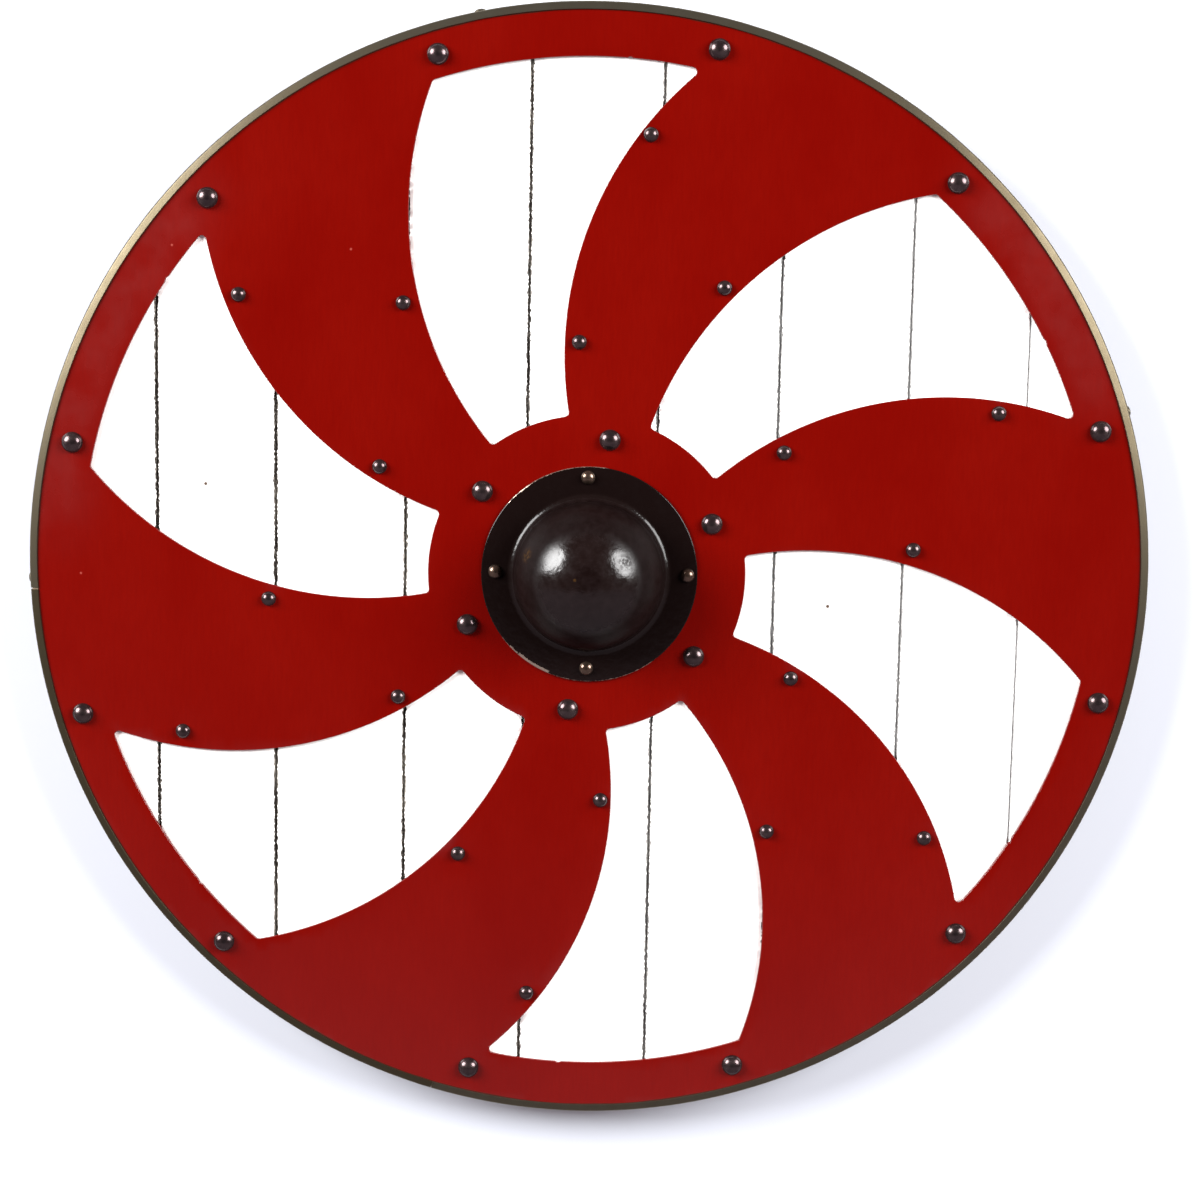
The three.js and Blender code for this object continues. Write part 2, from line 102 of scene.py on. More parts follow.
# The rim and the boss, as in the part's source
RIM_WALL = 1.2
RIM_LIP = 6.0
RIM_ROUNDING = 2.4
RIM_JOINTS = {"left": (182.7, 1.2), "bottom": (254.3, 0.4)}
SHORT_MIDDLE = (RIM_JOINTS["left"][0] + RIM_JOINTS["bottom"][0]) / 2
SHORT_HALF = (RIM_JOINTS["bottom"][0] - RIM_JOINTS["left"][0]) / 2
BOSS_WALL = 2.0
BOSS_EDGE_ROUNDING = 0.8
DOME_RADIUS = 54.0
DOME_FILLET = 6.0
DOME_STRAIGHT = 2.0

# The nails' square shanks, as in the part's source
SHANK_WIDTHS = {"hub": 3.0, "rim": 3.0, "arm": 2.4}
RIVET_SHANK = 2.8
RIM_NAIL_SHANK = 2.0
SHANK_TIP = 1.0

# How finely the meshes are cut
EDGE_STEP = 1.3  # along a window's outline
CIRCLE_STEP = 3.0  # round the sheet's edge and its hand hole
BOARD_STEP = 1.0  # along a board's outline
BAR_STEP = 4.0  # along the outline of a batten or the grip
SURFACE_STEP = 7.0  # between points inside a flat face
ROW_SHARE = 0.866  # distance between the rows of those points, as a share of their step
CLEARANCE = 0.6  # least distance from those points to an outline, as a share of their step
LONGEST_CHORD = 45.0  # of a curve in the CAD outlines
SHORTEST_OUTLINE = 60.0  # what is shorter on a CAD node's top is a nail hole
SHARP_TURN = 0.4  # cosine of the turn at a corner whose inset sides could cross
SHARP_ANGLE = 38  # degrees between faces that aren't shaded as one surface
WITHIN_OUTLINES = 1  # the triangulation's output: all that the outer outline encloses, holes too
RIM_STEPS = 540  # round the whole circle
BOSS_STEPS = 160
HEAD_STEPS = 36
HEAD_ROWS = 9
RIM_NAIL_STEPS = 28
RIM_NAIL_ROWS = 6


# Outlines in the plane

def polar(radius, angle, centre=(0.0, 0.0)):
    return np.array([centre[0] + radius * math.cos(angle), centre[1] + radius * math.sin(angle)])


def sweep(centre, radius, start, end, way):
    """Points along an arc without its last one, anticlockwise where way is 1, clockwise where it is -1."""
    turn = (way * (end - start)) % (2 * math.pi)
    count = max(4, math.ceil(turn * radius / min(EDGE_STEP, radius / 4)))
    return [polar(radius, start + way * turn * i / count, centre) for i in range(count)]


def circle(radius, centre=(0.0, 0.0), way=1):
    count = math.ceil(2 * math.pi * radius / CIRCLE_STEP)
    return np.array([polar(radius, way * 2 * math.pi * i / count, centre) for i in range(count)])


def swirl_point(swirl_angle, reach, span):
    """The point at reach from the shield's centre and span from the swirl circle's centre."""
    cosine = (reach**2 + SWIRL_CENTRE_DISTANCE**2 - span**2) / (2 * reach * SWIRL_CENTRE_DISTANCE)
    return polar(reach, swirl_angle + math.acos(cosine))


def bearing(start, end):
    return math.atan2(end[1] - start[1], end[0] - start[0])


def angle_of(point):
    return math.atan2(point[1], point[0])


def window():
    """One window's outline, anticlockwise: outer arc, leading side, hub arc and trailing side."""
    leading = math.radians(SWIRL_START)
    trailing = leading - math.pi / ARM_COUNT
    lead_centre = polar(SWIRL_CENTRE_DISTANCE, leading)
    trail_centre = polar(SWIRL_CENTRE_DISTANCE, trailing)
    far, near = WINDOW_OUTER_RADIUS - WINDOW_CORNER, HUB_RADIUS + WINDOW_CORNER
    inner_span, outer_span = SWIRL_RADIUS - WINDOW_CORNER, SWIRL_RADIUS + WINDOW_CORNER
    far_lead = swirl_point(leading, far, inner_span)
    near_lead = swirl_point(leading, near, inner_span)
    near_trail = swirl_point(trailing, near, outer_span)
    far_trail = swirl_point(trailing, far, outer_span)
    to_far_lead, to_near_lead = bearing(lead_centre, far_lead), bearing(lead_centre, near_lead)
    to_near_trail, to_far_trail = bearing(trail_centre, near_trail), bearing(trail_centre, far_trail)
    middle = (0.0, 0.0)
    return np.array([
        *sweep(middle, WINDOW_OUTER_RADIUS, angle_of(far_trail), angle_of(far_lead), 1),
        *sweep(far_lead, WINDOW_CORNER, angle_of(far_lead), to_far_lead, 1),
        *sweep(lead_centre, SWIRL_RADIUS, to_far_lead, to_near_lead, 1),
        *sweep(near_lead, WINDOW_CORNER, to_near_lead, angle_of(near_lead) + math.pi, 1),
        *sweep(middle, HUB_RADIUS, angle_of(near_lead), angle_of(near_trail), -1),
        *sweep(near_trail, WINDOW_CORNER, angle_of(near_trail) + math.pi, to_near_trail + math.pi, 1),
        *sweep(trail_centre, SWIRL_RADIUS, to_near_trail, to_far_trail, -1),
        *sweep(far_trail, WINDOW_CORNER, to_far_trail + math.pi, angle_of(far_trail), 1),
    ])


def turned(points, angle):
    c, s = math.cos(angle), math.sin(angle)
    return points @ np.array([[c, s], [-s, c]])


def notched(points):
    """A window's outline with the router's small notches in its outer arc."""
    reach = np.hypot(points[:, 0], points[:, 1])
    angle = np.arctan2(points[:, 1], points[:, 0])
    for notch in NOTCH_ANGLES:
        off = (angle - math.radians(notch) + math.pi) % (2 * math.pi) - math.pi
        share = np.clip(1 - (off * reach / (NOTCH_WIDTH / 2)) ** 2, 0, 1)
        deeper = NOTCH_DEPTH * np.sqrt(share) * (np.abs(reach - WINDOW_OUTER_RADIUS) < 0.5)
        points = points * (1 + deeper / reach)[:, None]
    return points


def top_outlines(node):
    """The outlines of a CAD node's top, nail holes left out, with its material on the left of each."""
    bm = bmesh.new()
    bm.from_mesh(NODES[node].data)
    bmesh.ops.remove_doubles(bm, verts=bm.verts, dist=1e-6)
    bm.normal_update()
    follow = {}
    for face in bm.faces:
        if face.normal.z < 0.5:
            continue
        for loop in face.loops:
            others = [f for f in loop.edge.link_faces if f is not face]
            if all(f.normal.z < 0.5 for f in others):
                follow[loop.vert.index] = loop.link_loop_next.vert.index
    place = {v.index: np.array(v.co[:2]) / MM for v in bm.verts}
    bm.free()
    found = []
    while follow:
        start = next(iter(follow))
        chain, at = [], start
        while at in follow:
            chain.append(at)
            at = follow.pop(at)
        points = np.array([place[i] for i in chain])
        if np.linalg.norm(points - np.roll(points, -1, 0), axis=1).sum() > SHORTEST_OUTLINE:
            found.append(points)
    return found


def refined(points, step):
    """An outline with a point at each step. Chords of the shield's edge and of the hand hole become arcs."""
    circles = (((0, 0), BOARD_RADIUS), (BOSS_CENTRE, HAND_HOLE_RADIUS))
    fine = []
    for a, b in zip(points, np.roll(points, -1, 0)):
        count = max(1, round(np.linalg.norm(b - a) / step))
        for i in range(count):
            p = a + (b - a) * i / count
            for centre, radius in circles:
                off = max(abs(np.linalg.norm(q - centre) - radius) for q in (a, b))
                if off < 0.05 and np.linalg.norm(b - a) < LONGEST_CHORD:
                    p = centre + (p - centre) * radius / np.linalg.norm(p - centre)
            fine.append(p)
    return np.array(fine)


# Meshes

def mesh(name, points, faces, materials, kinds=None):
    """A piece from points in millimetres, faces and materials. kinds gives each face's material."""
    data = bpy.data.meshes.new(name)
    data.from_pydata((np.asarray(points) * MM).tolist(), [], faces)
    for material in materials:
        data.materials.append(material)
    if kinds is not None:
        data.polygons.foreach_set("material_index", np.asarray(kinds, np.int32))
    data.shade_smooth()
    data.set_sharp_from_angle(angle=math.radians(SHARP_ANGLE))
    data.update()
    piece = bpy.data.objects.new(name, data)
    bpy.context.scene.collection.objects.link(piece)
    return piece


def dress(piece, slot, *nodes):
    """The piece takes the place of these CAD nodes."""
    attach(piece, "root")
    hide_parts(*nodes)
    return piece


def left_normals(points):
    """For each point of an outline, the way to the material, long enough that an inset keeps its width."""
    before = points - np.roll(points, 1, 0)
    after = np.roll(points, -1, 0) - points
    before /= np.linalg.norm(before, axis=1)[:, None]
    after /= np.linalg.norm(after, axis=1)[:, None]
    along = before + after
    along /= np.linalg.norm(along, axis=1)[:, None]
    stretch = 1 / np.maximum((along * before).sum(1), 0.5)
    return np.stack([-along[:, 1], along[:, 0]], 1) * stretch[:, None]


def room_to_inset(points):
    """How far each point of an outline may move in before the two sides of a sharp corner would cross."""
    before = points - np.roll(points, 1, 0)
    after = np.roll(points, -1, 0) - points
    length = np.linalg.norm(after, axis=1)
    turn = (before * after).sum(1) / np.linalg.norm(before, axis=1) / length
    along = np.concatenate([[0.0], np.cumsum(length)[:-1]])
    room = np.full(len(points), np.inf)
    for i in np.flatnonzero(turn < SHARP_TURN):
        off = np.abs(along - along[i])
        off = np.minimum(off, length.sum() - off)
        slope = math.tan((math.pi - math.acos(turn[i])) / 2)
        room = np.minimum(room, off * slope / 2)
    return room


def inside(points, loops):
    """Which points lie inside the outlines, by counting the sides to the right of each."""
    odd = np.zeros(len(points), bool)
    batch = 4000  # points at a time, to save memory
    for loop in loops:
        for start in range(0, len(points), batch):
            part = points[start:start + batch]
            a, b = loop, np.roll(loop, -1, 0)
            spans = (a[:, 1] > part[:, 1:2]) != (b[:, 1] > part[:, 1:2])
            rise = np.where(b[:, 1] == a[:, 1], 1.0, b[:, 1] - a[:, 1])
            crossing = a[:, 0] + (part[:, 1:2] - a[:, 1]) * (b[:, 0] - a[:, 0]) / rise
            odd[start:start + batch] ^= (spans & (crossing > part[:, :1])).sum(1) % 2 == 1
    return odd


def fill_points(loops):
    """Points about SURFACE_STEP apart inside the outlines, clear of their sides."""
    every = np.vstack(loops)
    low, high = every.min(0), every.max(0)
    rows = np.arange(low[1], high[1], SURFACE_STEP * ROW_SHARE)
    columns = np.arange(low[0], high[0], SURFACE_STEP)
    shift = SURFACE_STEP / 2  # of every second row
    grid = np.array([(x + (shift if i % 2 else 0), y) for i, y in enumerate(rows) for x in columns])
    grid = grid[inside(grid, loops)]
    tree = kdtree.KDTree(len(every))
    for i, p in enumerate(every):
        tree.insert((p[0], p[1], 0), i)
    tree.balance()
    clear = [p for p in grid if tree.find((p[0], p[1], 0))[2] > SURFACE_STEP * CLEARANCE]
    return np.array(clear).reshape(-1, 2)


def triangles(loops, extra):
    """Triangles that fill the outlines, through the extra points. Points count from loops on to extra."""
    points = np.vstack([*loops, extra])
    edges, start = [], 0
    for loop in loops:
        n = len(loop)
        edges += [(start + i, start + (i + 1) % n) for i in range(n)]
        start += n
    found = delaunay_2d_cdt([Vector(p) for p in points.tolist()], edges, [], WITHIN_OUTLINES, 1e-7)
    faces = [[found[3][i][0] for i in f] for f in found[2]]
    if len(loops) == 1:
        return faces
    return [f for f, solid in zip(faces, inside(points[np.array(faces)].mean(1), loops)) if solid]


def plate(name, loops, profile, materials, top_shape=None, fray=None, white_from=None):
    """A flat body. profile is a list of (inset, height) from the underside's edge to the top's edge.

    top_shape(x, y) moves the top's points up, and fray(points, height) gives a further inset. Faces whose
    middle is at white_from or higher take the first material, the underside takes the third and the sides
    the second.
    """
    points, faces, undersides, tops = [], [], [], []
    for loop in loops:
        normals, room, n = left_normals(loop), room_to_inset(loop), len(loop)
        rings = []
        for inset, height in profile:
            further = fray(loop, height) if fray else 0.0
            ring = loop + normals * np.minimum(inset + further, room)[:, None]
            rings.append((len(points), ring))
            points += [(x, y, height) for x, y in ring]
        for (low, _), (high, _) in zip(rings, rings[1:]):
            for i in range(n):
                j = (i + 1) % n
                faces.append((low + i, low + j, high + j, high + i))
        undersides.append(rings[0])
        tops.append(rings[-1])
    bottom, top = profile[0][1], profile[-1][1]
    for ends, height, way in ((undersides, bottom, -1), (tops, top, 1)):
        outlines = [ring for _, ring in ends]
        extra = fill_points(outlines)
        index = [start + i for start, ring in ends for i in range(len(ring))]
        index += range(len(points), len(points) + len(extra))
        faces += [tuple(index[i] for i in f[::way]) for f in triangles(outlines, extra)]
        points += [(x, y, height) for x, y in extra]
    points = np.array(points)
    kinds = None
    if white_from is not None:
        touching = 1e-6
        heights = [np.mean([points[i][2] for i in f]) for f in faces]
        kinds = [0 if h >= white_from else 2 if h <= bottom + touching else 1 for h in heights]
    if top_shape:
        on_top = np.isclose(points[:, 2], top)
        points[on_top, 2] += [top_shape(x, y) for x, y, _ in points[on_top]]
    return mesh(name, points, faces, materials, kinds)


def lathe(name, profile, steps, centre, materials, wobble):
    """A closed profile of (distance, height) turned round an upright axis. Its ends close in points.

    wobble(radius, height, angle) gives the radius and height that a point moves to.
    """
    points, faces, rows = [], [], []
    for radius, height in profile:
        if radius < 1e-6:
            rows.append([len(points)] * steps)
            points.append((centre[0], centre[1], height))
            continue
        rows.append(list(range(len(points), len(points) + steps)))
        for i in range(steps):
            angle = 2 * math.pi * i / steps
            r, h = wobble(radius, height, angle)
            points.append((centre[0] + r * math.cos(angle), centre[1] + r * math.sin(angle), h))
    for low, high in zip(rows, rows[1:]):
        for i in range(steps):
            j = (i + 1) % steps
            corner = [low[i], low[j], high[j], high[i]]
            face = [c for k, c in enumerate(corner) if c != corner[k - 1]]
            if len(face) > 2:
                faces.append(face)
    return mesh(name, points, faces, materials)


def arc(centre, radius, start, end, steps):
    """Points of a profile along an arc, both ends included. Angles are in degrees."""
    angles = [math.radians(start + (end - start) * i / steps) for i in range(steps + 1)]
    return [(centre[0] + radius * math.cos(a), centre[1] + radius * math.sin(a)) for a in angles]


# Materials

def srgb(red, green, blue):
    """A colour as it shows on screen, from 0 to 255, as the shader's linear colour."""
    def linear(value):
        value /= 255
        return value / 12.92 if value <= 0.04045 else ((value + 0.055) / 1.055) ** 2.4
    return (linear(red), linear(green), linear(blue), 1.0)


class Shader:
    """A node material. Coordinates are the frame's own, because every piece sits at the origin."""

    def __init__(self, name, **sockets):
        self.material = bpy.data.materials.new(name)
        self.material.use_nodes = True
        self.tree = self.material.node_tree
        self.surface = self.tree.nodes["Principled BSDF"]
        for socket, value in sockets.items():
            self.surface.inputs[socket.replace("_", " ")].default_value = value
        self.place = self.add("ShaderNodeTexCoord").outputs["Object"]

    def add(self, kind, **inputs):
        node = self.tree.nodes.new(kind)
        for name, value in inputs.items():
            self.put(node.inputs[name], value)
        return node

    def put(self, socket, value):
        if isinstance(value, bpy.types.NodeSocket):
            self.tree.links.new(value, socket)
        else:
            socket.default_value = value

    def set(self, socket, value):
        self.put(self.surface.inputs[socket], value)

    def math(self, operation, a, b=0.0):
        node = self.add("ShaderNodeMath")
        node.operation = operation
        self.put(node.inputs[0], a)
        self.put(node.inputs[1], b)
        return node.outputs[0]

    def vector(self, operation, *values):
        node = self.add("ShaderNodeVectorMath")
        node.operation = operation
        for socket, value in zip(node.inputs, values):
            self.put(socket, value)
        return node.outputs

    def stretched(self, x, y, z, shift):
        """The place in millimetres, divided by a size for each way."""
        scale = (1 / (x * MM), 1 / (y * MM), 1 / (z * MM))
        return self.vector("MULTIPLY_ADD", self.place, scale, (shift, shift, shift))[0]

    def clouds(self, sizes, detail=3.0, roughness=0.5, shift=0.0, distortion=0.0):
        """Noise from 0 to 1 with features of the given sizes in millimetres."""
        node = self.add("ShaderNodeTexNoise", Vector=self.stretched(*sizes, shift), Scale=1.0,
                        Detail=detail, Roughness=roughness, Distortion=distortion)
        return node.outputs["Fac"]

    def range(self, value, low, high, to_low=0.0, to_high=1.0, smooth=False):
        node = self.add("ShaderNodeMapRange")
        node.interpolation_type = "SMOOTHSTEP" if smooth else "LINEAR"
        for socket, given in zip(("Value", "From Min", "From Max", "To Min", "To Max"),
                                 (value, low, high, to_low, to_high)):
            self.put(node.inputs[socket], given)
        return node.outputs[0]

    def mix(self, share, a, b):
        node = self.add("ShaderNodeMix")
        node.data_type = "RGBA"
        self.put(node.inputs[0], share)
        self.put(node.inputs[6], a)
        self.put(node.inputs[7], b)
        return node.outputs[2]

    def from_axis(self, centre):
        """The place in millimetres, level from an upright axis."""
        back = (-centre[0], -centre[1], 0.0)
        return self.vector("MULTIPLY_ADD", self.place, (1 / MM, 1 / MM, 0.0), back)[0]

    def reach(self, centre=(0.0, 0.0)):
        """The distance in millimetres from an upright axis."""
        return self.vector("LENGTH", self.from_axis(centre))["Value"]

    def sector(self, degrees, half_width, soft, centre=(0.0, 0.0)):
        """1 within half_width degrees of a bearing from an upright axis, fading to 0 over soft degrees."""
        unit = self.vector("NORMALIZE", self.from_axis(centre))[0]
        way = math.radians(degrees)
        cosine = self.vector("DOT_PRODUCT", unit, (math.cos(way), math.sin(way), 0.0))["Value"]
        near, far = (math.cos(math.radians(half_width + extra)) for extra in (0.0, soft))
        return self.range(cosine, far, near, smooth=True)

    def spot(self, point, radius, soft):
        """1 inside a small round mark at a place on the face, 0 outside."""
        away = self.vector("DISTANCE", self.place, tuple(c * MM for c in point))["Value"]
        return self.range(away, (radius - soft) * MM, (radius + soft) * MM, 1.0, 0.0, True)

    def relief(self, *layers):
        """Bumps from pairs of height and depth in millimetres."""
        normal = None
        for height, depth in layers:
            node = self.add("ShaderNodeBump", Height=height, Distance=depth * MM, Strength=1.0)
            if normal is not None:
                self.put(node.inputs["Normal"], normal)
            normal = node.outputs["Normal"]
        self.set("Normal", normal)


RED_DEEP = (0.106, 0.0008, 0.0001, 1.0)
RED_BRIGHT = (0.124, 0.0014, 0.0002, 1.0)
RED_GRAIN = (0.094, 0.0007, 0.0001, 1.0)
PALE_SPECKS = ((-172.3, 230.4), (-368.6, -6.9), (-300.5, 230.9), (47.2, 110.8))  # in the red
DARK_SPECKS = ((-277.6, 60.1), (175.7, -20.1))  # in the white
RUBBED_ARCS = ((156, 14, 12), (33, 7, 12))  # bearing, half width and fade in degrees


def red_paint():
    """Glossy red with painted shade at the rim's edge, rubbed duller on two arcs. What the rim hides was
    never painted.
    """
    s = Shader("red_paint", Specular_IOR_Level=0.5)
    cloud = s.clouds((90, 160, 90), detail=4, roughness=0.6)
    grain = s.clouds((1.6, 14, 4), detail=3, roughness=0.6, shift=7)
    colour = s.mix(s.range(cloud, 0.3, 0.7), RED_DEEP, RED_BRIGHT)
    colour = s.mix(s.range(grain, 0.35, 0.75, 0.0, 0.4), colour, RED_GRAIN)
    for x, y in PALE_SPECKS:
        colour = s.mix(s.spot((x, y, SHEET_TOP), 0.7, 0.5), colour, srgb(140, 62, 54))
    reach = s.reach()
    lip = RIM_RADIUS - RIM_LIP
    patch = s.clouds((30, 30, 30), detail=3, shift=5)
    # Painted shade: a thin dark brown line just inside the rim's lip, where the lip overhangs the sheet.
    rim_shade_edge = s.math("ADD", reach, s.range(patch, 0.35, 0.65, -0.4, 0.3))
    colour = s.mix(s.range(rim_shade_edge, lip - 0.9, lip - 0.4, 0.0, 0.85), colour, srgb(52, 26, 18))
    s.set("Base Color", s.mix(s.range(reach, lip, lip + 0.4), colour, srgb(112, 100, 86)))
    arcs = 0.0
    for bearing_of, half, fade in RUBBED_ARCS:
        arcs = s.math("MAXIMUM", arcs, s.sector(bearing_of, half, fade))
    rubbed = s.math("MULTIPLY", s.range(reach, 345, 382), s.range(patch, 0.3, 0.6, 0.5, 1.0))
    rubbed = s.math("MULTIPLY", rubbed, arcs)
    gloss = s.range(cloud, 0.3, 0.7, 0.14, 0.18)
    s.set("Roughness", s.math("ADD", gloss, s.math("MULTIPLY", rubbed, 0.15)))
    s.relief((grain, 0.012), (s.clouds((2.5, 2.5, 2.5), detail=2), 0.008))
    return s.material


def white_paint():
    """Satin white that shows the boards' grain."""
    s = Shader("white_paint", Roughness=0.5, Specular_IOR_Level=0.4)
    grain = s.clouds((2.2, 90, 3), detail=4, roughness=0.6)
    colour = s.mix(s.range(grain, 0.45, 0.8), srgb(249, 248, 246), srgb(240, 238, 234))
    for x, y in DARK_SPECKS:
        colour = s.mix(s.spot((x, y, SHEET_BOTTOM), 1.3, 0.4), colour, srgb(70, 52, 40))
    s.set("Base Color", colour)
    s.relief((grain, 0.05))
    return s.material


def seam_wood():
    """The broken edges and sides of the boards: dirty on the left, and greys on the right that are white
    paint with painted shade.
    """
    s = Shader("seam_wood", Roughness=0.85, Specular_IOR_Level=0.2)
    crumb = s.clouds((1.0, 1.3, 1.0), detail=2, roughness=0.6)
    patch = s.clouds((8, 30, 8), detail=2, shift=6)
    across = s.add("ShaderNodeSeparateXYZ", Vector=s.place).outputs["X"]
    # Towards the right the seams turn to neutral greys: white paint with painted shade, as it falls down in
    # the seams.
    paint = s.range(across, -60 * MM, 140 * MM)
    far_right_painted_shade = s.range(across, 200 * MM, 320 * MM)
    dark = s.mix(paint, srgb(38, 33, 29), srgb(104, 104, 103))
    pale = s.mix(paint, srgb(120, 115, 107), srgb(134, 134, 133))
    share = s.range(s.math("ADD", crumb, s.range(patch, 0.3, 0.7, -0.09, 0.09)), 0.50, 0.60)
    colour = s.mix(share, dark, pale)
    s.set("Base Color", s.mix(far_right_painted_shade, colour, srgb(176, 176, 175)))
    s.relief((crumb, 0.2))
    return s.material


def bare_wood(name, shift, light, dark, along="y"):
    """Planed softwood whose grain runs along x or y."""
    s = Shader(name, Specular_IOR_Level=0.25)

    def sizes(across, length):
        return (length, across, across) if along == "x" else (across, length, across)

    rings = s.clouds(sizes(9, 420), detail=2, roughness=0.4, shift=shift, distortion=0.3)
    bands = s.math("FRACT", s.math("MULTIPLY", rings, 11.0))
    bands = s.range(s.math("ABSOLUTE", s.math("SUBTRACT", bands, 0.5)), 0.05, 0.5, 0.0, 1.0, True)
    pores = s.clouds(sizes(0.7, 26), detail=3, roughness=0.7, shift=shift + 3)
    tone = s.clouds(sizes(60, 300), detail=2, shift=shift + 5)
    colour = s.mix(bands, light, dark)
    colour = s.mix(s.range(pores, 0.5, 0.75, 0.0, 0.45), colour, srgb(96, 62, 36))
    colour = s.mix(s.range(tone, 0.35, 0.7, 0.0, 0.35), colour, srgb(150, 112, 72))
    s.set("Base Color", colour)
    s.set("Roughness", s.range(pores, 0.3, 0.7, 0.62, 0.8))
    s.relief((bands, 0.06), (pores, 0.08))
    return s.material


def rim_steel():
    """Dull steel with an olive-brown skin, darker on the short strip."""
    s = Shader("rim_steel", Metallic=0.35, Specular_IOR_Level=0.66, Specular_Tint=(1.0, 0.77, 0.43, 1.0))
    blot = s.clouds((14, 14, 14), detail=4, roughness=0.6)
    fine = s.clouds((1.5, 1.5, 1.5), detail=3, roughness=0.6, shift=4)
    colour = s.mix(s.range(blot, 0.35, 0.7), (0.034, 0.032, 0.025, 1.0), (0.026, 0.024, 0.018, 1.0))
    colour = s.mix(s.range(fine, 0.55, 0.75, 0.0, 0.4), colour, (0.022, 0.016, 0.011, 1.0))
    short = s.sector(SHORT_MIDDLE, SHORT_HALF, 0.1)
    colour = s.mix(s.math("MULTIPLY", short, 0.75), colour, (0.014, 0.012, 0.006, 1.0))
    s.set("Base Color", colour)
    s.set("Roughness", s.range(blot, 0.3, 0.7, 0.28, 0.35))
    s.relief((fine, 0.02))
    return s.material


# Where the flange's edge is worn to the metal: bearing, half width and fade in degrees, then how deep,
# how jagged and how soft it is in millimetres. The first two are long and thin, the others are chips.
EDGE_WEAR = (
    (112, 26, 6, 0.35, 0.35, 0.2),
    (262, 40, 6, 0.35, 0.35, 0.2),
    (128, 3.0, 1.5, 0.9, 0.6, 0.3),
    (239, 8.0, 2.0, 2.0, 0.6, 0.3),
    (226, 2.0, 1.0, 1.2, 0.6, 0.3),
)
RUST_PATCH = (-42.0, 17.5, 67.0)  # at the dome's upper left
RUST_SPECK = (-6.8, 3.3, 92.0)  # near its top
SCUFF = (28.9, 16.2, 85.0)  # in the right highlight


def boss_enamel():
    """Black-brown gloss enamel, duller round the foot of the dome and worn off the flange's edge."""
    flange = SHEET_TOP + BOSS_WALL
    dome = flange + DOME_FILLET + DOME_STRAIGHT
    rise = BOSS_HIGH[2] - dome
    s = Shader("boss_enamel")
    mottle = s.clouds((5.5, 5.5, 5.5), detail=3, roughness=0.6)
    orange_peel = s.clouds((1.6, 1.6, 1.6), detail=2, roughness=0.5, shift=2)
    reach = s.reach(BOSS_CENTRE)
    jagged = s.clouds((2.2, 2.2, 2.2), detail=3, roughness=0.6, shift=9)
    worn = 0.0
    for bearing_of, half, fade, depth, jag, soft in EDGE_WEAR:
        edge = s.math("ADD", reach, s.range(jagged, 0.3, 0.7, -jag, jag))
        strip = s.range(edge, BOSS_RADIUS - depth, BOSS_RADIUS - depth + soft)
        stretch = s.sector(bearing_of, half, fade, BOSS_CENTRE)
        worn = s.math("MAXIMUM", worn, s.math("MULTIPLY", strip, stretch))
    height = s.add("ShaderNodeSeparateXYZ", Vector=s.place).outputs["Z"]
    fillet_end = s.range(height, (flange + 1.0) * MM, (flange + 1.8) * MM)
    dome_start = s.range(height, (dome + rise * 0.66) * MM, (dome + rise * 0.86) * MM, 1.0, 0.0, True)
    dull = s.math("MULTIPLY", fillet_end, dome_start)
    mottled = s.range(mottle, 0.35, 0.7)
    enamel = s.mix(mottled, (0.0042, 0.0020, 0.0018, 1.0), (0.0066, 0.0036, 0.0035, 1.0))
    enamel = s.mix(fillet_end, (0.0042, 0.0021, 0.0019, 1.0), enamel)
    rust = s.math("MULTIPLY", s.spot(RUST_PATCH, 4.5, 3.0), s.range(jagged, 0.46, 0.56))
    rust = s.math("MAXIMUM", rust, s.spot(RUST_SPECK, 1.0, 0.5))
    enamel = s.mix(rust, enamel, (0.030, 0.014, 0.004, 1.0))
    s.set("Base Color", s.mix(worn, enamel, (0.42, 0.34, 0.28, 1.0)))
    s.set("Metallic", worn)
    on_dome = s.range(dull, 0.0, 1.0, 0.36, 0.03)
    on_flange = s.range(fillet_end, 0.0, 1.0, 0.55, 1.0)
    s.set("Specular IOR Level", s.math("MULTIPLY", on_dome, on_flange))
    shine = s.range(mottle, 0.3, 0.7, 0.13, 0.22)
    shine = s.math("ADD", shine, s.math("MULTIPLY", dull, 0.25))
    scuff = s.math("MULTIPLY", s.spot(SCUFF, 5.0, 3.0), s.range(jagged, 0.40, 0.56))
    shine = s.math("ADD", shine, s.math("MULTIPLY", scuff, 0.4))
    s.set("Roughness", s.math("MAXIMUM", shine, s.math("MULTIPLY", worn, 0.45)))
    s.relief((mottle, 0.22), (orange_peel, 0.03))
    return s.material


def nail_metal(name, dark, light):
    """Smooth metal, a little blotched."""
    s = Shader(name, Metallic=0.85)
    blot = s.clouds((5, 5, 5), detail=3)
    s.set("Base Color", s.mix(s.range(blot, 0.35, 0.7), dark, light))
    s.set("Roughness", s.range(blot, 0.3, 0.7, 0.17, 0.28))
    s.relief((s.clouds((1.2, 1.2, 1.2), detail=2), 0.01))
    return s.material


# The pieces

def wave(x, y, size, shift=0.0):
    """Smooth noise from -1 to 1 over the face."""
    return noise.noise(Vector((x / size + shift, y / size - shift, shift * 1.7)))


def eased(bottom, top, ease, steps=3):
    """An edge profile with both corners rounded."""
    low = arc((ease, bottom + ease), ease, 270, 180, steps)
    high = arc((ease, top - ease), ease, 180, 90, steps)
    return low + high


STUDS = [n for n in sorted(NODES) if "stud" in n]
RIVETS = [n for n in sorted(NODES) if n.startswith("boss_rivet")]


def middle(node):
    """Where a CAD node's middle is, seen from the front."""
    low, high = box(node)
    return ((low + high) / 2)[:2]


